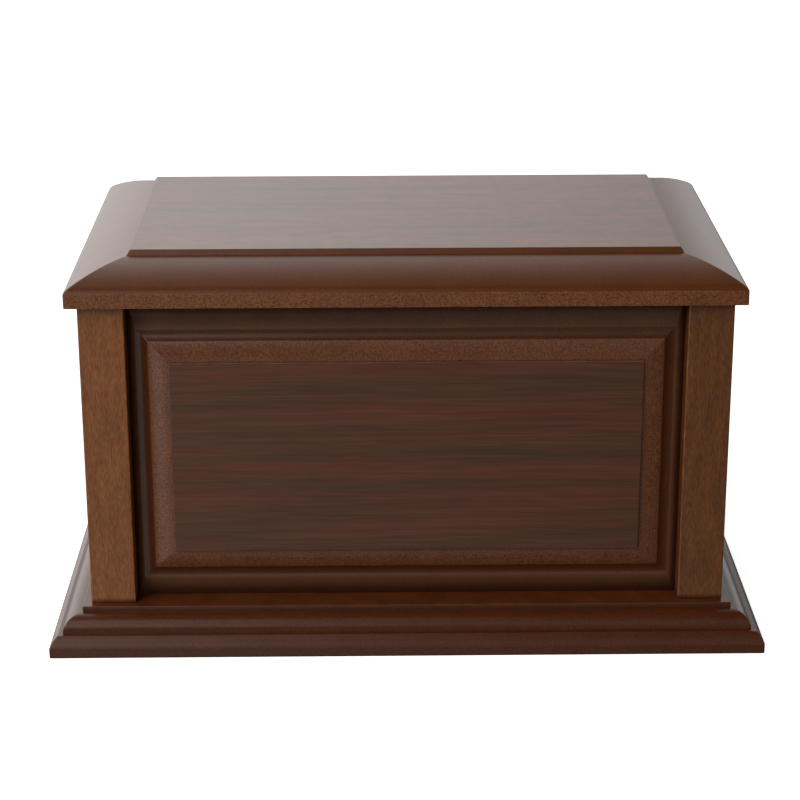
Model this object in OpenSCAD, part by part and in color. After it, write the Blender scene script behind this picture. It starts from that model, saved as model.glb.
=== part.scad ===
// Lidded wooden chest: four square corner posts and four recessed panels stand on a
// moulded base board, and a loose moulded lid drops into the mouth.
// Millimetres, +Z up, front towards -Y, origin at the centre of the underside.

/* [Carcass] */
// Width over the corner posts
carcass_w = 270; // [200:1:400]
// Depth over the corner posts
carcass_d = 167; // [120:1:300]
// Height of the posts and panels, from the base to the lid
carcass_h = 133; // [90:1:250]
// Side of each square corner post
post_side = 19; // [16:0.5:28]
// Radius that eases the upright arrises of the posts
post_ease = 0.6; // [0.2:0.1:1.5]

/* [Panels] */
// Set-back of a panel's flat border behind the outer faces of the posts
panel_setback = 9.2; // [6:0.1:11]
// Flat border between a post and the moulding of a raised field
side_margin = 3.9; // [2:0.1:14]
// Flat border between the lid and the moulding of a raised field
top_margin = 13.2; // [4:0.1:24]
// Flat border between the base and the moulding of a raised field
bottom_margin = 8.9; // [4:0.1:24]
// Width of the cove that rises from the flat border
cove_w = 4.6; // [3:0.1:8]
// Height of the cove
cove_h = 2; // [1:0.1:3]
// Width of the round that runs from the cove to the field
round_w = 8.7; // [5:0.1:10]
// Height of the round, which meets the cove at a crease
round_h = 1.8; // [1:0.1:3]
// Step from the round up to the flat field
field_step = 1.5; // [0.5:0.1:2.5]

/* [Lid] */
// Thickness of the lid at its flat field
lid_t = 18; // [15:0.5:28]
// Overhang of the lid beyond the posts
lid_overhang = 4.8; // [2:0.1:12]
// Height of the upright edge of the lid
lid_edge_h = 6.2; // [3:0.1:8]
// Width of the rounded border, from the edge to the foot of the step
lid_border_w = 23.9; // [15:0.1:35]
// Bulge of the rounded border above its chord
lid_border_bulge = 1; // [0.5:0.1:2]
// Width of the steeper nose between the border and the edge
lid_nose_w = 2.6; // [1:0.1:5]
// Height of the nose
lid_nose_h = 2.3; // [1:0.1:4]
// Bulge of the nose beyond its chord
lid_nose_bulge = 0.2; // [0.1:0.1:0.5]
// Height of the step from the border up to the flat field
lid_step_h = 2.3; // [1:0.1:4]
// How far the step leans out at its foot
lid_step_lean = 1.5; // [0.5:0.1:3]
// Depth of the register that drops into the mouth of the carcass
register_h = 3; // [2:0.5:8]
// Clearance all round the register
register_gap = 0.8; // [0.3:0.1:2]

/* [Base] */
// Thickness of the base board
base_t = 18; // [15:0.5:28]
// Overhang of the ledge that the posts stand on
ledge_overhang = 3.6; // [1:0.1:8]
// Height of the fillet below the ledge
fillet_h = 2.4; // [1:0.1:4]
// Width of the flat quirk between the fillet and the quarter round
quirk_w = 1.2; // [0.5:0.1:3]
// Radius of the quarter round
ovolo_r = 6.7; // [4:0.1:8]
// Width of the flat ledge at the foot of the quarter round
foot_ledge_w = 1.9; // [0.5:0.1:4]
// Width of the bevel below that ledge
bevel_w = 3.4; // [1:0.1:6]
// Height of the bevel
bevel_h = 4.6; // [2:0.1:5]
// Bulge of the bevel beyond its chord
bevel_bulge = 0.4; // [0.1:0.1:0.8]

/* [Hidden] */

// Points in a full circle
arc_fn = 96;
// Extra length that lets two crossing extrusions cut each other cleanly
overrun = 2;
// Dip of the cove below the border, so that it runs out at a clean edge
cove_dip = 0.01;

mouth_w = carcass_w - 2 * post_side;
mouth_d = carcass_d - 2 * post_side;
border_t = post_side - panel_setback;

cove_r = tangent_radius(cove_w, cove_h);
round_r = tangent_radius(round_w, round_h);

lid_z = base_t + carcass_h;
lid_w = carcass_w + 2 * lid_overhang;
lid_d = carcass_d + 2 * lid_overhang;

ovolo_z = base_t - fillet_h - ovolo_r;
bevel_z = ovolo_z - bevel_h;
ovolo_x = ledge_overhang + quirk_w;
foot_x = ovolo_x + ovolo_r + foot_ledge_w;
base_overhang = foot_x + bevel_w;
base_w = carcass_w + 2 * base_overhang;
base_d = carcass_d + 2 * base_overhang;

post_colour = "#764a2c";
field_colour = "#4c3329";
moulding_colour = "#5c3a26";

// Radius of an arc that starts flat and covers a width and a height
function tangent_radius(width, height) = (width * width + height * height) / (2 * height);

// Area under an arc that falls from its inner high end to its outer low end
module bulged_fall(x_in, x_out, z_low, z_high, bulge) {
    run = x_out - x_in;
    fall = z_high - z_low;
    chord = norm([run, fall]);
    radius = chord * chord / (8 * bulge) + bulge / 2;
    reach = (radius - bulge) / chord;
    centre_x = (x_in + x_out) / 2 - fall * reach;
    centre_z = (z_low + z_high) / 2 - run * reach;
    intersection() {
        translate([x_in, z_low]) square([run, fall]);
        translate([centre_x, centre_z]) circle(r = radius, $fn = arc_fn);
    }
}

// Both halves of a section that is drawn for x above 0
module mirrored_section() {
    children();
    mirror([1, 0]) children();
}

// Board lying flat, with section 0 running along Y and section 1 along X, mitred at its corners
module moulded_board(board_w, board_d) {
    intersection() {
        rotate([90, 0, 0])
            linear_extrude(height = board_d + overrun, center = true)
                mirrored_section() children(0);
        rotate([90, 0, 90])
            linear_extrude(height = board_w + overrun, center = true)
                mirrored_section() children(1);
    }
}

// Half section of the lid, from its centre line to its edge
module lid_section(half) {
    border_x = half - lid_border_w;
    foot_z = lid_t - lid_step_h;
    nose_x = half - lid_nose_w;
    nose_z = lid_edge_h + lid_nose_h;
    square([half, lid_edge_h]);
    square([nose_x, nose_z]);
    square([border_x, foot_z]);
    bulged_fall(nose_x, half, lid_edge_h, nose_z, lid_nose_bulge);
    bulged_fall(border_x, nose_x, nose_z, foot_z, lid_border_bulge);
    polygon([
        [0, foot_z],
        [border_x, foot_z],
        [border_x - lid_step_lean, lid_t],
        [0, lid_t]
    ]);
}

// Half section of the base board, where edge is the distance from the centre line to the posts
module base_section(edge) {
    square([edge + ledge_overhang, base_t]);
    square([edge + ovolo_x, base_t - fillet_h]);
    square([edge + ovolo_x + ovolo_r, ovolo_z]);
    intersection() {
        translate([edge + ovolo_x, ovolo_z]) square(ovolo_r);
        translate([edge + ovolo_x, ovolo_z]) circle(r = ovolo_r, $fn = arc_fn);
    }
    square([edge + foot_x, ovolo_z]);
    square([edge + base_overhang, bevel_z]);
    bulged_fall(edge + foot_x, edge + base_overhang, bevel_z, ovolo_z, bevel_bulge);
}

// Half section of a raised field with its cove, round and step, on the thickness of the border
module field_section(half) {
    field_x = half - cove_w - round_w;
    round_top = border_t + cove_h + round_h;
    square([half, border_t]);
    difference() {
        intersection() {
            translate([field_x, 0]) square([cove_w + round_w, round_top + field_step]);
            translate([field_x, round_top - round_r]) circle(r = round_r, $fn = arc_fn);
        }
        translate([half, border_t + cove_r - cove_dip]) circle(r = cove_r, $fn = arc_fn);
    }
    square([field_x, round_top + field_step]);
}

// Flat panel, lying on its inner face
module panel_blank(panel_w) {
    translate([-panel_w / 2, -carcass_h / 2, 0])
        cube([panel_w, carcass_h, border_t]);
}

// Panel with a raised field, lying on its inner face
module raised_panel(panel_w) {
    raised_w = panel_w - 2 * side_margin;
    raised_h = carcass_h - top_margin - bottom_margin;
    panel_blank(panel_w);
    translate([0, (bottom_margin - top_margin) / 2, 0])
        moulded_board(raised_w, raised_h) {
            field_section(raised_w / 2);
            field_section(raised_h / 2);
        }
}

// Stands a lying panel upright in the carcass, turned about Z from the front
module stand_panel(turn, inner_face) {
    rotate([0, 0, turn])
        translate([0, -inner_face, base_t + carcass_h / 2])
            rotate([90, 0, 0])
                children();
}

// Square post with eased arrises, at the corner that the two signs name
module post_at(side_x, side_y) {
    flat = post_side - 2 * post_ease;
    centre_x = side_x * (carcass_w - post_side) / 2;
    centre_y = side_y * (carcass_d - post_side) / 2;
    color(post_colour)
        translate([centre_x, centre_y, base_t])
            linear_extrude(height = carcass_h) {
                square([post_side, flat], center = true);
                square([flat, post_side], center = true);
                for (corner_x = [-1, 1], corner_y = [-1, 1])
                    translate([corner_x * flat / 2, corner_y * flat / 2])
                        circle(r = post_ease, $fn = arc_fn);
            }
}

module post_front_left() { post_at(-1, -1); }

module post_front_right() { post_at(1, -1); }

module post_back_left() { post_at(-1, 1); }

module post_back_right() { post_at(1, 1); }

module panel_front() {
    color(field_colour) stand_panel(0, mouth_d / 2) raised_panel(mouth_w);
}

module panel_back() {
    color(field_colour) stand_panel(180, mouth_d / 2) panel_blank(mouth_w);
}

module panel_left() {
    color(field_colour) stand_panel(-90, mouth_w / 2) raised_panel(mouth_d);
}

module panel_right() {
    color(field_colour) stand_panel(90, mouth_w / 2) raised_panel(mouth_d);
}

// Moulded lid with a register under it that fits the mouth of the carcass
module lid() {
    register_w = mouth_w - 2 * register_gap;
    register_d = mouth_d - 2 * register_gap;
    color(moulding_colour)
        translate([0, 0, lid_z]) {
            moulded_board(lid_w, lid_d) {
                lid_section(lid_w / 2);
                lid_section(lid_d / 2);
            }
            translate([-register_w / 2, -register_d / 2, -register_h])
                cube([register_w, register_d, register_h + lid_edge_h]);
        }
}

// Moulded base board, whose top is the floor of the chest
module base() {
    color(moulding_colour)
        moulded_board(base_w, base_d) {
            base_section(carcass_w / 2);
            base_section(carcass_d / 2);
        }
}

lid();
post_front_left();
post_front_right();
post_back_left();
post_back_right();
panel_front();
panel_back();
panel_left();
panel_right();
base();
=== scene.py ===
"""Cremation urn chest: a moulded base board, four corner posts, four panels and a loose moulded lid.

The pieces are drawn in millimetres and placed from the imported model's own boxes.
"""

import logging
import math
from dataclasses import dataclass
from enum import Enum
from typing import ClassVar

import bmesh
import bpy
from mathutils import Matrix, Vector


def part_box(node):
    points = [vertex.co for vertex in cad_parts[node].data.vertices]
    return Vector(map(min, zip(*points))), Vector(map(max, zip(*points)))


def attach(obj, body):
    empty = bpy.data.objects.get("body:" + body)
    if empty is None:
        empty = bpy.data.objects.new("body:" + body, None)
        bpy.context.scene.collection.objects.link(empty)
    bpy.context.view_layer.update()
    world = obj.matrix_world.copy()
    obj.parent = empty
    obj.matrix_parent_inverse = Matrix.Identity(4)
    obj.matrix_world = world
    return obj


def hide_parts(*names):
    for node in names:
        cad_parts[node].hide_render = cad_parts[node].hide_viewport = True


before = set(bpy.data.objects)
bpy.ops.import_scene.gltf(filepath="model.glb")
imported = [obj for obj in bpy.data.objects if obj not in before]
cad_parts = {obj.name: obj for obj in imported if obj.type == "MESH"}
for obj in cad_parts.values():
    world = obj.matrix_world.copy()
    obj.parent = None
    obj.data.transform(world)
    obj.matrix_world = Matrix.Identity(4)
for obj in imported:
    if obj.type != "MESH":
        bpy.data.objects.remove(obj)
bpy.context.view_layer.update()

LOG = logging.getLogger("urn_chest")
MM = 0.001
BODY = "root"
# Tone of each point, from -1 to 1, for real rubbing and gathered stain and also painted light: lighter
# arrises are partly painted highlights, darker inner corners and feet partly painted shade
WEAR_AND_LIGHT_LAYER = "arris_wear_and_light"
# Halfway along a share, and the middle of a noise's values
MIDDLE = 0.5
# The profile of a bevel that is a part of a circle
ROUND_PROFILE = 0.5
# Width of the last ring before a flat face, in millimetres
FLAT_INSET = 1.0

# The constants of the sRGB curve
TOE_END = 0.04045
TOE_SLOPE = 12.92
CURVE_OFFSET = 0.055
CURVE_POWER = 2.4

Colour = tuple[float, float, float, float]
WHITE: Colour = (1.0, 1.0, 1.0, 1.0)
Socket = bpy.types.NodeSocket
Tree = bpy.types.NodeTree


# ---------------------------------------------------------------- drawing a routed edge


class LidFace(Enum):
    """The faces of the lid that have a finish each, by their number on the mesh."""

    BORDER = 0
    EDGE = 1
    FIELD = 2


class PanelFace(Enum):
    """The faces of a panel that have a finish each, by their number on the mesh."""

    BORDER = 0
    ROUND = 1
    FIELD = 2
    COVE = 3


@dataclass(frozen=True)
class Station:
    """One ring of a board: how far it stands out from the outline, its height, wear and finish.

    Wear runs from -1 to 1 and carries painted light as well: at -1 an inner corner or a foot is darkened,
    partly for gathered stain and partly as painted shade; at 1 an arris is lightened, partly where a hand
    has rubbed it and partly as a painted highlight.
    """

    outset: float
    height: float
    wear_and_light: float = 0.0
    finish: int = 0


@dataclass(frozen=True)
class Corner:
    """One corner of a section, with the radius that rounds it, its tone for rubbing, gathered stain and
    painted light and shade, and the finish below it.
    """

    spot: Vector
    ease: float = 0.0
    wear_and_light: float = 0.0
    finish: int = 0


class EdgeSection:
    """The section of a routed edge, drawn from its lowest ring to its highest, in millimetres."""

    EASE_STEPS: ClassVar[int] = 6
    LONGEST_EASE: ClassVar[float] = 0.49

    def __init__(self, outset: float, height: float) -> None:
        """Starts the section.

        Args:
            outset: Distance outside the board's outline.
            height: Height above the board's zero.
        """
        self._finish = 0
        self._corners: list[Corner] = [Corner(Vector((outset, height)))]

    def painted(self, face: Enum) -> "EdgeSection":
        """Changes the finish of the runs that follow.

        Args:
            face: The face of the piece that the runs are part of.

        Returns:
            The section itself.
        """
        self._finish = face.value
        return self

    def line(
        self, outset: float, height: float, ease: float = 0.0, wear_and_light: float = 0.0
    ) -> "EdgeSection":
        """Draws a straight run.

        Args:
            outset: Where it ends, outside the outline.
            height: Where it ends, in height.
            ease: Radius that rounds the corner at its end.
            wear_and_light: Its tone at its end, for rubbing, gathered stain and painted light and shade,
                where the corner isn't rounded.

        Returns:
            The section itself.
        """
        self._corners.append(Corner(Vector((outset, height)), ease, wear_and_light, self._finish))
        return self

    def arc(
        self, outset: float, height: float, bulge: float, steps: int, ease: float = 0.0
    ) -> "EdgeSection":
        """Draws an arc of a circle.

        Args:
            outset: Where it ends, outside the outline.
            height: Where it ends, in height.
            bulge: Rise of the arc off its chord, to the right of the way it runs. Negative is a hollow.
            steps: Number of straight steps that it is made of.
            ease: Radius that rounds the corner at its end.

        Returns:
            The section itself.
        """
        start = self._corners[-1].spot
        end = Vector((outset, height))
        chord = end - start
        radius = chord.length_squared / (8 * abs(bulge)) + abs(bulge) / 2
        half_angle = math.asin(min(1.0, chord.length / (2 * radius)))
        along = chord.normalized()
        aside = Vector((along.y, -along.x)) * math.copysign(1.0, bulge)
        centre = (start + end) / 2 - aside * (radius - abs(bulge))
        for step in range(1, steps):
            angle = -half_angle + 2 * half_angle * step / steps
            spot = centre + along * radius * math.sin(angle) + aside * radius * math.cos(angle)
            self._corners.append(Corner(spot, finish=self._finish))
        self._corners.append(Corner(end, ease, finish=self._finish))
        return self

    def stations(self) -> list[Station]:
        """Works out the rings, with every eased corner rounded.

        Returns:
            The stations from the lowest ring to the highest.
        """
        rings: list[Station] = []
        for index, corner in enumerate(self._corners):
            if corner.ease <= 0 or index == len(self._corners) - 1:
                rings.append(Station(corner.spot.x, corner.spot.y, corner.wear_and_light, corner.finish))
                continue
            rings += self._rounded(self._corners[index - 1].spot, corner, self._corners[index + 1])
        return rings

    def _rounded(self, before: Vector, corner: Corner, after: Corner) -> list[Station]:
        """Rounds one corner.

        Args:
            before: The spot before the corner.
            corner: The corner.
            after: The corner after it.

        Returns:
            The stations that take the corner's place: lightened if it points out, partly for rubbing and
            partly as a painted highlight; darkened if it points in, partly for gathered stain and partly as
            painted shade.
        """
        arriving, leaving = corner.spot - before, after.spot - corner.spot
        turn = arriving.angle_signed(leaving)
        reach = min(
            corner.ease * abs(math.tan(turn / 2)),
            arriving.length * self.LONGEST_EASE,
            leaving.length * self.LONGEST_EASE,
        )
        start = corner.spot - arriving.normalized() * reach
        end = corner.spot + leaving.normalized() * reach
        outwards = math.copysign(1.0, -turn)
        rings = []
        for step in range(self.EASE_STEPS + 1):
            share = step / self.EASE_STEPS
            spot = start.lerp(corner.spot, share).lerp(corner.spot.lerp(end, share), share)
            finish = corner.finish if share <= MIDDLE else after.finish
            # Outer corners are lightened, partly as a painted highlight; inner corners are darkened, partly
            # as painted shade in the crease
            rings.append(Station(spot.x, spot.y, outwards * math.sin(math.pi * share), finish))
        return rings


@dataclass(frozen=True)
class Plan:
    """A rectangle in plan, in millimetres, by its centre and its two sides."""

    centre_x: float
    centre_y: float
    width: float
    depth: float

    def grown(self, outset: float) -> "Plan":
        """Moves all four sides out.

        Args:
            outset: How far they move.

        Returns:
            The larger rectangle.
        """
        return Plan(self.centre_x, self.centre_y, self.width + 2 * outset, self.depth + 2 * outset)


class RoutedBoard:
    """A rectangular board that grows ring by ring from its underside, with mitred, eased corners."""

    # Half the side of the square that the underside is stretched from
    HALF_SIDE: ClassVar[float] = 0.5
    # A bevel keeps the material of the face that it cuts
    OWN_MATERIAL: ClassVar[int] = -1
    CORNER_STEPS: ClassVar[int] = 4
    SAME_SPOT: ClassVar[float] = 1e-4

    def __init__(self, plan: Plan, height: float, corner_ease: float, corner_wear_and_highlight: float = 0.0) -> None:
        """Lays down the underside.

        Args:
            plan: Outline of the underside.
            height: Height of the underside.
            corner_ease: Radius that eases the upright corners.
            corner_wear_and_highlight: How much lighter those corners are, partly for rubbing and partly as
                a painted highlight.
        """
        self.bm = bmesh.new()
        self.wear_and_light = self.bm.verts.layers.float.new(WEAR_AND_LIGHT_LAYER)
        self.corner_wear_and_highlight = corner_wear_and_highlight
        bmesh.ops.create_grid(self.bm, x_segments=1, y_segments=1, size=self.HALF_SIDE)
        spread = Matrix.Translation((plan.centre_x, plan.centre_y, height))
        spread @= Matrix.Diagonal((plan.width, plan.depth, 1.0, 1.0))
        bmesh.ops.transform(self.bm, matrix=spread, verts=self.bm.verts)
        bmesh.ops.bevel(
            self.bm,
            geom=self.bm.verts[:],
            offset=corner_ease,
            segments=self.CORNER_STEPS,
            profile=ROUND_PROFILE,
            affect="VERTICES",
            material=self.OWN_MATERIAL,
        )
        self.top = self.bm.faces[:][0]
        self.plan = plan
        self.height = height

    def rise(self, plan: Plan, station: Station) -> None:
        """Adds one ring: the top face moves to a new outline and height, and a wall joins the two.

        Args:
            plan: The new outline.
            station: The new ring.
        """
        covered, is_underside = self.top, len(self.bm.faces) == 1
        grown = bmesh.ops.extrude_face_region(self.bm, geom=[covered])["geom"]
        self.top = next(item for item in grown if isinstance(item, bmesh.types.BMFace))
        if not is_underside:
            bmesh.ops.delete(self.bm, geom=[covered], context="FACES_ONLY")
        move = Matrix.Translation((plan.centre_x, plan.centre_y, station.height))
        move @= Matrix.Diagonal((plan.width / self.plan.width, plan.depth / self.plan.depth, 1.0, 1.0))
        move @= Matrix.Translation((-self.plan.centre_x, -self.plan.centre_y, -self.height))
        bmesh.ops.transform(self.bm, matrix=move, verts=self.top.verts)
        for vert in self.top.verts:
            at_corner = self.corner_wear_and_highlight if self._is_on_corner(vert, plan) else 0.0
            vert[self.wear_and_light] = max(-1.0, min(1.0, station.wear_and_light + at_corner))
        for face in {face for edge in self.top.edges for face in edge.link_faces}:
            face.material_index = station.finish
        self.plan = plan
        self.height = station.height

    def _is_on_corner(self, vert: bmesh.types.BMVert, plan: Plan) -> bool:
        """Tells whether a point of the top ring lies on the rounding of a corner, and not on a side.

        Args:
            vert: The point.
            plan: The ring's outline.

        Returns:
            Whether it lies on a corner.
        """
        inside_x = abs(vert.co.x - plan.centre_x) < plan.width / 2 - self.SAME_SPOT
        inside_y = abs(vert.co.y - plan.centre_y) < plan.depth / 2 - self.SAME_SPOT
        return inside_x and inside_y

    def follow(self, outline: Plan, stations: list[Station]) -> None:
        """Adds a ring for each station of a section.

        Args:
            outline: The outline that the outsets are measured from.
            stations: The section's rings.
        """
        for station in stations:
            self.rise(outline.grown(station.outset), station)


# ---------------------------------------------------------------- finishes


def linear_colour(code: str) -> Colour:
    """Turns an sRGB hex colour into a linear one.

    Args:
        code: The colour as "#rrggbb".

    Returns:
        Red, green, blue and a full alpha, all linear.
    """
    parts = [int(code[place : place + 2], 16) / 255 for place in (1, 3, 5)]
    red, green, blue = (
        part / TOE_SLOPE if part <= TOE_END else ((part + CURVE_OFFSET) / (1 + CURVE_OFFSET)) ** CURVE_POWER
        for part in parts
    )
    return red, green, blue, 1.0


def add_node(
    tree: Tree, kind: str, settings: dict | None = None, links: dict | None = None
) -> bpy.types.Node:
    """Adds a node with its settings and links.

    Args:
        tree: The node tree that it goes in.
        kind: The node's type.
        settings: Values by property name, or by input name or number.
        links: Output sockets by the input name or number that they feed.

    Returns:
        The new node.
    """
    node = tree.nodes.new(kind)
    for key, value in (settings or {}).items():
        if isinstance(key, str) and hasattr(node, key):
            setattr(node, key, value)
        else:
            node.inputs[key].default_value = value
    for key, source in (links or {}).items():
        tree.links.new(source, node.inputs[key])
    return node


class Grain(Enum):
    """The way that the grain of a piece runs, as turns about X, Y and Z that bring it to X."""

    ALONG_X = (0.0, 0.0, 0.0)
    ALONG_Y = (0.0, 0.0, -90.0)
    ALONG_Z = (0.0, 90.0, 0.0)

    def turn(self) -> tuple[float, float, float]:
        """Returns the three turns in radians."""
        return tuple(math.radians(angle) for angle in self.value)


@dataclass(frozen=True)
class Figure:
    """One layer of a wood's figure: noise whose cells have a real length and width, in millimetres.

    Detail is the number of finer layers on top, and fineness is their strength. Where the noise strays
    from its middle by reach, it changes the colour by the share in spread.
    """

    length: float
    width: float
    detail: float
    fineness: float = 0.5
    reach: float = 0.2
    spread: float = 0.0


@dataclass(frozen=True)
class Lacquer:
    """Satin nitrocellulose lacquer, sprayed and rubbed down: a soft sheen over the stain below."""

    roughness: float = 0.3
    roughness_spread: float = 0.008
    ior: float = 1.5
    ripple: Figure = Figure(5.0, 5.0, 2.0, reach=0.2)


@dataclass(frozen=True)
class WoodFinish:
    """What the stained woods share: a name, a stain, the way of the grain, a lacquer, and arrises and inner
    corners toned for rubbing and stain and for painted highlights and shade.
    """

    name: str
    ground: str = "#592b11"
    grain: Grain = Grain.ALONG_X
    lacquer: Lacquer = Lacquer()

    # How dark an inner corner is, for gathered stain and painted shade, and how light an arris is, for
    # rubbing and a painted highlight, as shares of the stain
    GATHERED_AND_SHADED: ClassVar[float] = 0.5
    RUBBED_AND_HIGHLIGHTED: ClassVar[float] = 2.3
    # Patches along an arris where it is lightened, for rubbing and painted highlight, from hardly any to
    # full
    RUB_PATCHES: ClassVar[Figure] = Figure(7.0, 7.0, 2.0, reach=0.15)
    LEAST_RUB: ClassVar[float] = 0.2

    def material(self) -> bpy.types.Material:
        """Builds the material, or finds it if it has been built.

        Returns:
            The material.
        """
        made = bpy.data.materials.get(self.name)
        if made:
            return made
        made = bpy.data.materials.new(self.name)
        made.use_nodes = True
        tree = made.node_tree
        tree.nodes.clear()
        place = add_node(tree, "ShaderNodeTexCoord")
        turned = add_node(
            tree,
            "ShaderNodeMapping",
            {"vector_type": "POINT", "Rotation": self.grain.turn(), "Scale": (1 / MM, 1 / MM, 1 / MM)},
            {"Vector": place.outputs["Object"]},
        ).outputs["Vector"]
        self.coat(tree, turned, self.worn_and_lit(tree, turned, self.stain(tree, turned)))
        return made

    def stain(self, tree: Tree, place: Socket) -> Socket:
        """Draws the wood below the lacquer.

        Args:
            tree: The material's node tree.
            place: Millimetres along the grain and across it.

        Returns:
            The colour output.
        """
        raise NotImplementedError

    def drawn(self, tree: Tree, place: Socket, figure: Figure) -> Socket:
        """Draws one layer of figure.

        Args:
            tree: The material's node tree.
            place: Millimetres along the grain and across it.
            figure: The layer.

        Returns:
            The noise's value output.
        """
        cell = (1 / figure.length, 1 / figure.width, 1 / figure.width)
        scaled = add_node(tree, "ShaderNodeMapping", {"Scale": cell}, {"Vector": place})
        noise = add_node(
            tree,
            "ShaderNodeTexNoise",
            {"Scale": 1.0, "Detail": figure.detail, "Roughness": figure.fineness},
            {"Vector": scaled.outputs["Vector"]},
        )
        return noise.outputs["Fac"]

    def toned(self, tree: Tree, place: Socket, colour: Socket | str, figure: Figure) -> Socket:
        """Lightens and darkens a colour by a layer of figure, evenly about its middle.

        Args:
            tree: The material's node tree.
            place: Millimetres along the grain and across it.
            colour: The colour output, or a hex colour.
            figure: The layer.

        Returns:
            The new colour output.
        """
        gain = add_node(
            tree,
            "ShaderNodeMapRange",
            {
                "From Min": MIDDLE - figure.reach,
                "From Max": MIDDLE + figure.reach,
                "To Min": 1 - figure.spread,
                "To Max": 1 + figure.spread,
            },
            {"Value": self.drawn(tree, place, figure)},
        )
        settings, links = {"operation": "SCALE"}, {"Scale": gain.outputs["Result"]}
        if isinstance(colour, str):
            settings["Vector"] = linear_colour(colour)[:3]
        else:
            links["Vector"] = colour
        return add_node(tree, "ShaderNodeVectorMath", settings, links).outputs["Vector"]

    def worn_and_lit(self, tree: Tree, place: Socket, colour: Socket) -> Socket:
        """Lightens the arrises in patches, partly for rubbing and partly as painted highlights, and darkens
        the inner corners, partly for gathered stain and partly as painted shade.

        Args:
            tree: The material's node tree.
            place: Millimetres along the grain and across it.
            colour: The stained wood's colour output.

        Returns:
            The colour output with rubbing, stain and painted light and shade.
        """
        wear_and_light = add_node(tree, "ShaderNodeAttribute", {"attribute_name": WEAR_AND_LIGHT_LAYER}).outputs["Fac"]
        patchy = add_node(
            tree,
            "ShaderNodeMapRange",
            {
                "From Min": MIDDLE - self.RUB_PATCHES.reach,
                "From Max": MIDDLE + self.RUB_PATCHES.reach,
                "To Min": self.LEAST_RUB,
                "To Max": 1.0,
            },
            {"Value": self.drawn(tree, place, self.RUB_PATCHES)},
        )
        # Lighter arrises in patches: partly rubbing, partly painted highlight
        rubbed = add_node(
            tree, "ShaderNodeMath", {"operation": "MULTIPLY"}, {0: wear_and_light, 1: patchy.outputs["Result"]}
        )
        light = add_node(
            tree,
            "ShaderNodeMapRange",
            {"To Min": 1.0, "To Max": self.RUBBED_AND_HIGHLIGHTED},
            {"Value": rubbed.outputs["Value"]},
        )
        # Darker inner corners: partly gathered stain, partly painted shade
        dark = add_node(
            tree,
            "ShaderNodeMapRange",
            {"From Min": -1.0, "From Max": 0.0, "To Min": self.GATHERED_AND_SHADED, "To Max": 1.0},
            {"Value": wear_and_light},
        )
        gain = add_node(
            tree,
            "ShaderNodeMath",
            {"operation": "MULTIPLY"},
            {0: light.outputs["Result"], 1: dark.outputs["Result"]},
        )
        return add_node(
            tree,
            "ShaderNodeVectorMath",
            {"operation": "SCALE"},
            {"Vector": colour, "Scale": gain.outputs["Value"]},
        ).outputs["Vector"]

    def coat(self, tree: Tree, place: Socket, colour: Socket) -> None:
        """Puts the lacquer over the stain.

        Args:
            tree: The material's node tree.
            place: Millimetres along the grain and across it.
            colour: The stained wood's colour output.
        """
        lacquer = self.lacquer
        sheen = add_node(
            tree,
            "ShaderNodeMapRange",
            {
                "From Min": MIDDLE - lacquer.ripple.reach,
                "From Max": MIDDLE + lacquer.ripple.reach,
                "To Min": lacquer.roughness - lacquer.roughness_spread,
                "To Max": lacquer.roughness + lacquer.roughness_spread,
            },
            {"Value": self.drawn(tree, place, lacquer.ripple)},
        )
        shader = add_node(
            tree,
            "ShaderNodeBsdfPrincipled",
            {"IOR": lacquer.ior, "Metallic": 0.0},
            {"Base Color": colour, "Roughness": sheen.outputs["Result"]},
        )
        add_node(tree, "ShaderNodeOutputMaterial", None, {"Surface": shader.outputs["BSDF"]})


@dataclass(frozen=True)
class CherryVeneer(WoodFinish):
    """Sliced cherry veneer under a dark walnut stain: fine straight lines and slow red and olive bands."""

    ground: str = "#643c26"
    red_band: str = "#6e3a28"
    olive_band: str = "#553824"
    bands: Figure = Figure(150.0, 9.0, 2.0, reach=0.18)
    lines: Figure = Figure(50.0, 1.2, 3.0, fineness=0.6, reach=0.2, spread=0.22)
    # Real pores are about a tenth of a millimetre wide; these are as coarse as they need to be to show
    pores: Figure = Figure(14.0, 0.7, 1.0, reach=0.25, spread=0.12)

    # The mixing node's sockets by number, since several of them share a name
    FACTOR: ClassVar[int] = 0
    COLOUR_BELOW: ClassVar[int] = 6
    COLOUR_ABOVE: ClassVar[int] = 7
    MIXED_COLOUR: ClassVar[int] = 2

    def stain(self, tree: Tree, place: Socket) -> Socket:
        """Draws the bands, the fine lines and the pores of sliced veneer.

        Args:
            tree: The material's node tree.
            place: Millimetres along the grain and across it.

        Returns:
            The colour output.
        """
        band = self.drawn(tree, place, self.bands)
        redness = add_node(
            tree,
            "ShaderNodeMapRange",
            {"From Min": MIDDLE, "From Max": MIDDLE + self.bands.reach},
            {"Value": band},
        )
        red = add_node(
            tree,
            "ShaderNodeMix",
            {
                "data_type": "RGBA",
                self.COLOUR_BELOW: linear_colour(self.ground),
                self.COLOUR_ABOVE: linear_colour(self.red_band),
            },
            {self.FACTOR: redness.outputs["Result"]},
        )
        oliveness = add_node(
            tree,
            "ShaderNodeMapRange",
            {"From Min": MIDDLE - self.bands.reach, "From Max": MIDDLE, "To Min": 1.0, "To Max": 0.0},
            {"Value": band},
        )
        olive = add_node(
            tree,
            "ShaderNodeMix",
            {"data_type": "RGBA", self.COLOUR_ABOVE: linear_colour(self.olive_band)},
            {
                self.FACTOR: oliveness.outputs["Result"],
                self.COLOUR_BELOW: red.outputs[self.MIXED_COLOUR],
            },
        )
        lined = self.toned(tree, place, olive.outputs[self.MIXED_COLOUR], self.lines)
        return self.toned(tree, place, lined, self.pores)


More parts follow.
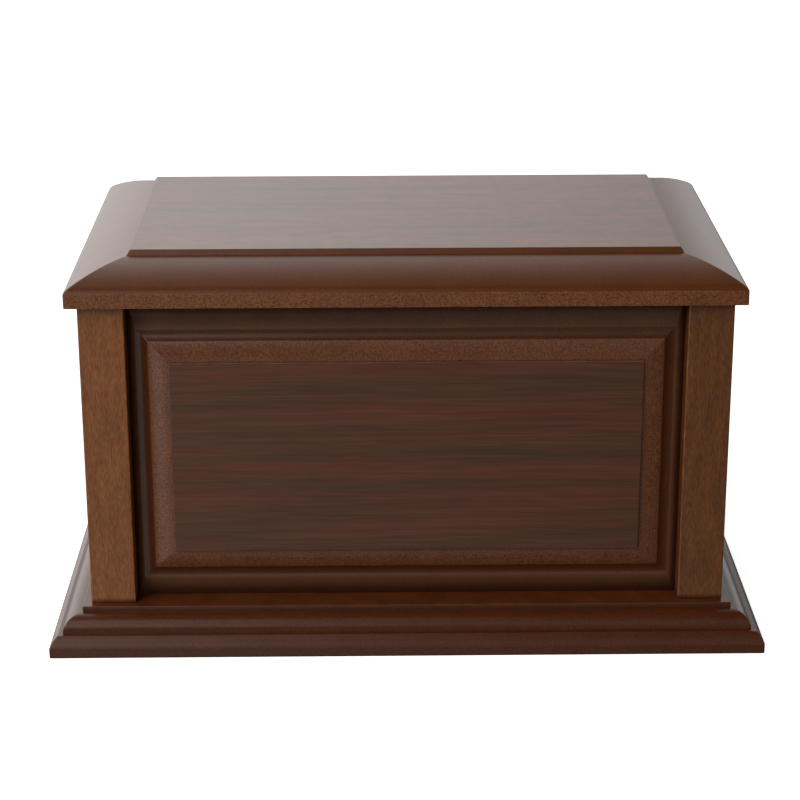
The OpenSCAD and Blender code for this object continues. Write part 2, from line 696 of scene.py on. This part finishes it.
@dataclass(frozen=True)
class RoutedFibreboard(WoodFinish):
    """Routed fibreboard with sprayed toner under the lacquer: no grain, a fine even speckle."""

    # The toner's real droplets are finer; these are as coarse as they need to be to show
    speck_mm: float = 0.75
    speck_spread: float = 0.35
    clouds: Figure = Figure(12.0, 12.0, 3.0, reach=0.2, spread=0.08)

    def stain(self, tree: Tree, place: Socket) -> Socket:
        """Draws the speckle and the slow clouds of the sprayed toner.

        Args:
            tree: The material's node tree.
            place: Millimetres along the board and across it.

        Returns:
            The colour output.
        """
        specks = Figure(self.speck_mm, self.speck_mm, 1.0, reach=0.25, spread=self.speck_spread)
        specked = self.toned(tree, place, self.ground, specks)
        return self.toned(tree, place, specked, self.clouds)


@dataclass(frozen=True)
class StainedBirch(WoodFinish):
    """Solid birch, planed and stained: short flecks and soft streaks along the grain."""

    # Real flecks are narrower; these are as coarse as they need to be to show
    flecks: Figure = Figure(3.0, 0.55, 2.0, fineness=0.6, reach=0.22, spread=0.4)
    streaks: Figure = Figure(22.0, 3.5, 3.0, reach=0.2, spread=0.16)

    def stain(self, tree: Tree, place: Socket) -> Socket:
        """Draws the flecks and the streaks of solid birch.

        Args:
            tree: The material's node tree.
            place: Millimetres along the grain and across it.

        Returns:
            The colour output.
        """
        flecked = self.toned(tree, place, self.ground, self.flecks)
        return self.toned(tree, place, flecked, self.streaks)


class Slot(Enum):
    """The material slots that the record names."""

    LID = "lid_wood"
    POST = "post_wood"
    PANEL = "panel_wood"
    BASE = "base_wood"


# ---------------------------------------------------------------- pieces


def box_mm(node: str) -> tuple[Vector, Vector]:
    """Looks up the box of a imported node.

    Args:
        node: Name of the node.

    Returns:
        Its lowest and its highest corner, in millimetres.
    """
    low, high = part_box(node)
    return low / MM, high / MM


def plan_of(low: Vector, high: Vector) -> Plan:
    """Looks down on a box.

    Args:
        low: Its lowest corner.
        high: Its highest corner.

    Returns:
        Its rectangle in plan.
    """
    middle, side = (low + high) / 2, high - low
    return Plan(middle.x, middle.y, side.x, side.y)


def board_from(section: EdgeSection, outline: Plan, ease: float, wear_and_light: float) -> RoutedBoard:
    """Grows a whole board from its section.

    Args:
        section: The section, from the underside up.
        outline: The outline that the section's outsets are measured from.
        ease: Radius that eases the upright corners.
        wear_and_light: How much lighter those corners are, partly for rubbing and partly as a painted
            highlight.

    Returns:
        The board.
    """
    rings = section.stations()
    board = RoutedBoard(outline.grown(rings[0].outset), rings[0].height, ease, wear_and_light)
    board.follow(outline, rings[1:])
    return board


def hand_over(
    bm: bmesh.types.BMesh, node: str, finishes: list[WoodFinish], place: Matrix
) -> bpy.types.Object:
    """Makes a finished mesh into the piece that stands for a node.

    Args:
        bm: The mesh, in millimetres. It is freed.
        node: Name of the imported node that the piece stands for.
        finishes: The piece's finishes, in the order of its material indices.
        place: Where the mesh stands, in millimetres.

    Returns:
        The new piece.
    """
    bmesh.ops.transform(bm, matrix=Matrix.Scale(MM, 4) @ place, verts=bm.verts)
    bmesh.ops.recalc_face_normals(bm, faces=bm.faces)
    for face in bm.faces:
        face.smooth = True
    mesh = bpy.data.meshes.new(node)
    bm.to_mesh(mesh)
    bm.free()
    for finish in finishes:
        mesh.materials.append(finish.material())
    piece = bpy.data.objects.new("wood_" + node, mesh)
    bpy.context.scene.collection.objects.link(piece)
    flat = piece.modifiers.new("even normals", "WEIGHTED_NORMAL")
    flat.keep_sharp = True
    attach(piece, BODY)
    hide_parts(node)
    LOG.info("%s: %d faces, %s", piece.name, len(mesh.polygons), ", ".join(f.name for f in finishes))
    return piece


@dataclass
class Lid:
    """The loose lid: an upright edge, a rounded border, a small step and a flat veneered field."""

    edge_h: float = 6.2
    border_w: float = 23.9
    foot_h: float = 15.7
    border_bulge: float = 1.0
    nose_w: float = 2.6
    nose_h: float = 2.3
    nose_bulge: float = 0.2
    step_h: float = 2.3
    step_lean: float = 1.5
    register_h: float = 3.0
    # The overhang, the side of a post and the clearance round the register
    register_inset: float = 4.8 + 19.0 + 0.8
    arris_ease: float = 0.35
    foot_ease: float = 0.4
    field_ease: float = 0.3
    corner_ease: float = 0.5
    # The upright corners are lightened, partly for rubbing and partly as a painted highlight
    corner_wear_and_highlight: float = 0.4
    border_steps: int = 24
    nose_steps: int = 8

    def build(self) -> bpy.types.Object:
        """Builds the lid.

        Returns:
            The lid piece.
        """
        low, high = box_mm("lid")
        outline = plan_of(low, high)
        underside = low.z + self.register_h
        field_x = -self.border_w - self.step_lean
        field_z = self.foot_h + self.step_h
        section = EdgeSection(-self.register_inset, -self.register_h)
        section.line(-self.register_inset, 0.0)
        section.line(0.0, 0.0, self.arris_ease)
        section.painted(LidFace.EDGE).line(0.0, self.edge_h, self.arris_ease)
        section.painted(LidFace.BORDER)
        section.arc(-self.nose_w, self.edge_h + self.nose_h, self.nose_bulge, self.nose_steps)
        section.arc(-self.border_w, self.foot_h, self.border_bulge, self.border_steps, self.foot_ease)
        section.line(field_x, field_z, self.field_ease)
        section.painted(LidFace.FIELD).line(field_x - FLAT_INSET, field_z)
        board = board_from(section, outline, self.corner_ease, self.corner_wear_and_highlight)
        finishes = [
            RoutedFibreboard("fibreboard lid border", "#673615", speck_spread=0.2),
            RoutedFibreboard("fibreboard lid edge", "#844e29", speck_spread=0.6),
            CherryVeneer("cherry veneer along x"),
        ]
        return hand_over(board.bm, "lid", finishes, Matrix.Translation((0, 0, underside)))


@dataclass
class BaseBoard:
    """The base: a plinth band, a bevel, a ledge, a quarter round, a quirk and a fillet below the posts."""

    HALF_QUARTER: ClassVar[float] = math.pi / 4

    band_h: float = 4.3
    bevel_w: float = 3.4
    bevel_h: float = 4.6
    bevel_bulge: float = 0.4
    ledge_w: float = 1.9
    round_r: float = 6.7
    quirk_w: float = 1.2
    fillet_h: float = 2.4
    foot_chamfer: float = 0.3
    arris_ease: float = 0.35
    corner_fill: float = 0.2
    foot_fill: float = 0.6
    corner_ease: float = 0.6
    # The upright corners are lightened, partly for rubbing and partly as a painted highlight
    corner_wear_and_highlight: float = 0.4
    round_steps: int = 16
    bevel_steps: int = 6

    def build(self) -> bpy.types.Object:
        """Builds the base board.

        Returns:
            The base piece.
        """
        low, high = box_mm("base")
        outline = plan_of(low, high)
        ledge_z = self.band_h + self.bevel_h
        ledge_x = -self.bevel_w
        round_foot = ledge_x - self.ledge_w
        quirk_x = round_foot - self.round_r
        quirk_z = ledge_z + self.round_r
        top_x = quirk_x - self.quirk_w
        quarter_bulge = self.round_r * (1 - math.cos(self.HALF_QUARTER))
        section = EdgeSection(-self.foot_chamfer, 0.0)
        # The bottom edge is darkened as painted shade where the base meets the floor
        section.line(0.0, self.foot_chamfer, wear_and_light=-1.0)
        section.line(0.0, 2 * self.foot_chamfer)
        section.line(0.0, self.band_h, self.arris_ease)
        section.arc(ledge_x, ledge_z, self.bevel_bulge, self.bevel_steps, self.arris_ease)
        section.line(round_foot, ledge_z, self.foot_fill)
        section.arc(quirk_x, quirk_z, quarter_bulge, self.round_steps, self.corner_fill)
        section.line(top_x, quirk_z, self.corner_fill)
        section.line(top_x, quirk_z + self.fillet_h, self.arris_ease)
        section.line(top_x - FLAT_INSET, quirk_z + self.fillet_h)
        board = board_from(section, outline, self.corner_ease, self.corner_wear_and_highlight)
        finish = RoutedFibreboard("fibreboard base")
        return hand_over(board.bm, "base", [finish], Matrix.Identity(4))


@dataclass
class CornerPost:
    """A square corner post with eased arrises, lightened partly as painted highlights, and a darker foot,
    partly stain gathered there and partly painted contact shadow.
    """

    node: str
    board: str
    ground: str
    arris_ease: float = 0.6
    # The upright arrises are lightened, partly for rubbing and partly as painted highlights
    arris_wear_and_light: float = 0.6
    end_ease: float = 0.3
    stained_and_shaded_foot: float = 2.4

    def build(self) -> bpy.types.Object:
        """Builds the post.

        Returns:
            The post piece.
        """
        low, high = box_mm(self.node)
        outline = plan_of(low, high)
        section = EdgeSection(-self.end_ease, low.z)
        # The foot is darkened: partly stain gathered there, partly painted shadow where the post meets the
        # base
        section.line(0.0, low.z + self.end_ease, wear_and_light=-1.0)
        section.line(0.0, low.z + self.stained_and_shaded_foot / 2, wear_and_light=-1.0)
        section.line(0.0, low.z + self.stained_and_shaded_foot)
        section.line(0.0, high.z - self.end_ease)
        section.line(-self.end_ease, high.z)
        board = board_from(section, outline, self.arris_ease, self.arris_wear_and_light)
        finish = StainedBirch(self.board, self.ground, Grain.ALONG_Z)
        return hand_over(board.bm, self.node, [finish], Matrix.Identity(4))


class Wall(Enum):
    """The side of the chest that a panel closes, as its turn about Z from the front."""

    FRONT = 0
    RIGHT = 90
    BACK = 180
    LEFT = -90


@dataclass
class Panel:
    """A panel between two posts, with a raised field on the three sides that are seen."""

    node: str
    wall: Wall
    raised: bool = True
    border_t: float = 9.8
    side_margin: float = 3.9
    top_margin: float = 13.2
    bottom_margin: float = 8.9
    cove_w: float = 4.6
    cove_h: float = 2.0
    round_w: float = 8.7
    round_h: float = 1.8
    step_h: float = 1.5
    foot_ease: float = 0.4
    field_ease: float = 0.35
    corner_ease: float = 0.3
    curve_steps: int = 14

    def build(self) -> bpy.types.Object:
        """Builds the panel lying on its inner face, then stands it in its wall.

        Returns:
            The panel piece.
        """
        low, high = box_mm(self.node)
        turn = Matrix.Rotation(math.radians(self.wall.value), 4, "Z")
        side = high - low
        width = side.x if self.wall in (Wall.FRONT, Wall.BACK) else side.y
        blank = Plan(0.0, 0.0, width, side.z)
        board = RoutedBoard(blank, 0.0, self.corner_ease)
        board.rise(blank, Station(0.0, self.border_t))
        if self.raised:
            self._raise_field(board, blank)
        else:
            board.rise(blank.grown(-FLAT_INSET), Station(0.0, self.border_t, finish=PanelFace.FIELD.value))
        upright = Matrix.Rotation(math.pi / 2, 4, "X")
        inner = self._inner_face(low, high)
        stand = turn @ Matrix.Translation((0, -inner, (low.z + high.z) / 2)) @ upright
        grain = Grain.ALONG_X if self.wall in (Wall.FRONT, Wall.BACK) else Grain.ALONG_Y
        # One toner in three tones for light and shade: the border darker as painted shade under the lid and
        # beside the posts, the round lighter as painted light where it faces the lamps, the cove darkest,
        # partly stain gathered in the hollow and partly painted shade
        finishes = [
            RoutedFibreboard("fibreboard panel border", "#6d452e", speck_spread=0.25),
            RoutedFibreboard("fibreboard panel round", "#7a4a2e", speck_spread=0.5),
            CherryVeneer("cherry veneer " + grain.name.lower().replace("_", " "), grain=grain),
            RoutedFibreboard("fibreboard panel cove", "#5e3218", speck_spread=0.25),
        ]
        return hand_over(board.bm, self.node, finishes, stand)

    def _inner_face(self, low: Vector, high: Vector) -> float:
        """Works out how far the panel's inner face stands from the middle of the chest.

        Args:
            low: Lowest corner of the panel's box.
            high: Highest corner of the panel's box.

        Returns:
            The distance.
        """
        if self.wall in (Wall.FRONT, Wall.BACK):
            return min(abs(low.y), abs(high.y))
        return min(abs(low.x), abs(high.x))

    @staticmethod
    def _bulge(width: float, height: float) -> float:
        """Works out how far an arc that starts flat stands off its chord.

        Args:
            width: Width that the arc covers.
            height: Height that it covers.

        Returns:
            The bulge.
        """
        return math.hypot(width, height) / 2 * math.tan(math.atan2(height, width) / 2)

    def _raise_field(self, board: RoutedBoard, blank: Plan) -> None:
        """Routes the cove, the round and the step around the field.

        Args:
            board: The blank, grown to the thickness of its border.
            blank: The blank's outline.
        """
        foot = Plan(
            0.0,
            (self.bottom_margin - self.top_margin) / 2,
            blank.width - 2 * self.side_margin,
            blank.depth - self.top_margin - self.bottom_margin,
        )
        crease = self.border_t + self.cove_h
        shoulder = crease + self.round_h
        field_x = -self.cove_w - self.round_w
        section = EdgeSection(0.0, self.border_t).painted(PanelFace.COVE)
        section.arc(-self.cove_w, crease, -self._bulge(self.cove_w, self.cove_h), self.curve_steps)
        round_bulge = self._bulge(self.round_w, self.round_h)
        section.painted(PanelFace.ROUND)
        section.arc(field_x, shoulder, round_bulge, self.curve_steps, self.foot_ease)
        section.line(field_x, shoulder + self.step_h, self.field_ease)
        section.painted(PanelFace.FIELD).line(field_x - FLAT_INSET, shoulder + self.step_h)
        board.follow(foot, section.stations())


# ---------------------------------------------------------------- studio


@dataclass(frozen=True)
class Softbox:
    """A flat square studio light, by its place, its side and how bright its face is, in metres."""

    name: str
    place: tuple[float, float, float]
    side: float
    radiance: float
    aim: tuple[float, float, float] = (0.0, 0.0, 0.08)

    def build(self) -> bpy.types.Object:
        """Builds the light.

        Returns:
            The light object.
        """
        lamp = bpy.data.lights.new(self.name, "AREA")
        lamp.shape = "SQUARE"
        lamp.size = self.side
        lamp.energy = self.radiance * math.pi * self.side**2
        light = bpy.data.objects.new(self.name, lamp)
        light.location = self.place
        light.rotation_euler = (Vector(self.aim) - Vector(self.place)).to_track_quat("-Z", "Y").to_euler()
        light.visible_camera = False
        bpy.context.scene.collection.objects.link(light)
        return light


@dataclass(frozen=True)
class TentWall:
    """A soft bright patch of the tent around the table.

    Azimuth runs clockwise from the back, seen from above. The patch is full up to inner degrees from
    its middle and gone at outer degrees.
    """

    name: str
    azimuth: float
    elevation: float
    inner: float
    outer: float
    radiance: float

    def middle(self) -> tuple[float, float, float]:
        """Returns the direction of the patch's middle."""
        azimuth, elevation = math.radians(self.azimuth), math.radians(self.elevation)
        level = math.cos(elevation)
        return math.sin(azimuth) * level, math.cos(azimuth) * level, math.sin(elevation)

    def patch(self, tree: Tree, way: Socket) -> Socket:
        """Draws the patch on the sky.

        Args:
            tree: The world's node tree.
            way: The direction that is looked in.

        Returns:
            The output for how bright the patch is that way.
        """
        nearness = add_node(
            tree, "ShaderNodeVectorMath", {"operation": "DOT_PRODUCT", 1: self.middle()}, {0: way}
        )
        return add_node(
            tree,
            "ShaderNodeMapRange",
            {
                "label": self.name,
                "interpolation_type": "SMOOTHSTEP",
                "From Min": math.cos(math.radians(self.outer)),
                "From Max": math.cos(math.radians(self.inner)),
                "To Max": self.radiance,
            },
            {"Value": nearness.outputs["Value"]},
        ).outputs["Result"]


@dataclass
class Studio:
    """A white table in a tent that is bright behind and to the left, with three softboxes front left."""

    floor_size: float = 30.0
    floor_colour: str = "#f4f3f1"
    floor_glow: float = 0.85
    floor_roughness: float = 0.7
    floor_gloss: float = 0.2
    backdrop: str = "#f6f5f3"
    walls: tuple[TentWall, ...] = (
        TentWall("back wall", azimuth=339, elevation=18, inner=6, outer=65, radiance=0.88),
        TentWall("back left wall", azimuth=326, elevation=24, inner=14, outer=45, radiance=0.78),
        TentWall("back right strip", azimuth=25, elevation=8, inner=2, outer=14, radiance=0.85),
        TentWall("back right wall", azimuth=55, elevation=12, inner=5, outer=30, radiance=0.2),
        TentWall("high front left", azimuth=227, elevation=52, inner=7, outer=23, radiance=2.2),
        TentWall("front window", azimuth=198, elevation=32, inner=5, outer=17, radiance=1.65),
        TentWall("low front left", azimuth=212, elevation=-14, inner=5, outer=18, radiance=1.2),
        TentWall("front of the table", azimuth=189, elevation=-25, inner=3, outer=22, radiance=0.5),
        TentWall("front right fill", azimuth=145, elevation=15, inner=8, outer=42, radiance=0.33),
    )
    softboxes: tuple[Softbox, ...] = (
        Softbox("key softbox", (-0.8, -0.8, 0.7), side=0.5, radiance=4.4),
        Softbox("top softbox", (-0.2, -0.5, 1.0), side=0.5, radiance=0.32),
        Softbox("left softbox", (-0.7, -0.3, 0.9), side=0.5, radiance=0.25),
    )
    lens_mm: float = 101.96
    sensor_mm: float = 36.0
    camera_place: tuple[float, float, float] = (-0.01197, -0.9707, 0.4229)
    camera_tilt: float = 70.5385
    camera_turn: float = -0.5967
    camera_roll: float = -0.1586

    def build(self) -> None:
        """Builds the floor, the light and the camera."""
        scene = bpy.context.scene
        scene.view_settings.view_transform = "Standard"
        self._floor()
        self._tent()
        for softbox in self.softboxes:
            softbox.build()
        self._camera()

    def _floor(self) -> None:
        """Lays the table: white acrylic, lit from below, which doesn't shine up at the chest."""
        bm = bmesh.new()
        bmesh.ops.create_grid(bm, x_segments=1, y_segments=1, size=self.floor_size / 2)
        mesh = bpy.data.meshes.new("floor")
        bm.to_mesh(mesh)
        bm.free()
        floor = bpy.data.objects.new("floor", mesh)
        floor.visible_diffuse = False
        floor.visible_glossy = False
        floor.visible_shadow = False
        bpy.context.scene.collection.objects.link(floor)
        material = bpy.data.materials.new("white acrylic")
        material.use_nodes = True
        tree = material.node_tree
        tree.nodes.clear()
        shader = add_node(
            tree,
            "ShaderNodeBsdfPrincipled",
            {
                "Base Color": linear_colour(self.floor_colour),
                "Roughness": self.floor_roughness,
                "Specular IOR Level": self.floor_gloss,
                "Emission Color": WHITE,
                "Emission Strength": self.floor_glow,
            },
        )
        add_node(tree, "ShaderNodeOutputMaterial", None, {"Surface": shader.outputs["BSDF"]})
        material.cycles.emission_sampling = "NONE"
        mesh.materials.append(material)

    def _tent(self) -> None:
        """Lights the scene from the bright walls of a tent, with a plain backdrop for the camera."""
        world = bpy.data.worlds.new("tent")
        bpy.context.scene.world = world
        world.use_nodes = True
        tree = world.node_tree
        tree.nodes.clear()
        way = add_node(tree, "ShaderNodeTexCoord").outputs["Generated"]
        first, *others = (wall.patch(tree, way) for wall in self.walls)
        total = first
        for patch in others:
            links = {0: total, 1: patch}
            total = add_node(tree, "ShaderNodeMath", {"operation": "ADD"}, links).outputs["Value"]
        glow = add_node(tree, "ShaderNodeBackground", {"Color": WHITE}, {"Strength": total})
        plain = add_node(tree, "ShaderNodeBackground", {"Color": linear_colour(self.backdrop)})
        seen = add_node(
            tree,
            "ShaderNodeMixShader",
            None,
            {
                0: add_node(tree, "ShaderNodeLightPath").outputs["Is Camera Ray"],
                1: glow.outputs["Background"],
                2: plain.outputs["Background"],
            },
        )
        add_node(tree, "ShaderNodeOutputWorld", None, {"Surface": seen.outputs["Shader"]})

    def _camera(self) -> None:
        """Sets up a long lens a metre away, a little above the lid."""
        lens = bpy.data.cameras.new("camera")
        lens.lens = self.lens_mm
        lens.sensor_width = self.sensor_mm
        camera = bpy.data.objects.new("camera", lens)
        camera.location = self.camera_place
        turn = Matrix.Rotation(math.radians(self.camera_turn), 3, "Z")
        tilt = Matrix.Rotation(math.radians(self.camera_tilt), 3, "X")
        roll = Matrix.Rotation(math.radians(self.camera_roll), 3, "Z")
        camera.rotation_euler = (turn @ tilt @ roll).to_euler()
        bpy.context.scene.collection.objects.link(camera)
        bpy.context.scene.camera = camera


def main() -> None:
    """Builds the chest piece by piece, then the studio around it."""
    logging.basicConfig(level=logging.INFO, format="%(message)s")
    BaseBoard().build()
    # Lit and shaded copies of one stain: the right-hand posts are darker as painted shade on the side away
    # from the key softbox
    for end in ("front", "back"):
        CornerPost(f"post_{end}_left", "stained birch light board", "#965a2b").build()
        CornerPost(f"post_{end}_right", "stained birch dark board", "#784722").build()
    Panel("panel_front", Wall.FRONT).build()
    Panel("panel_left", Wall.LEFT).build()
    Panel("panel_right", Wall.RIGHT).build()
    Panel("panel_back", Wall.BACK, raised=False).build()
    Lid().build()
    Studio().build()


if __name__ == "__main__":
    main()
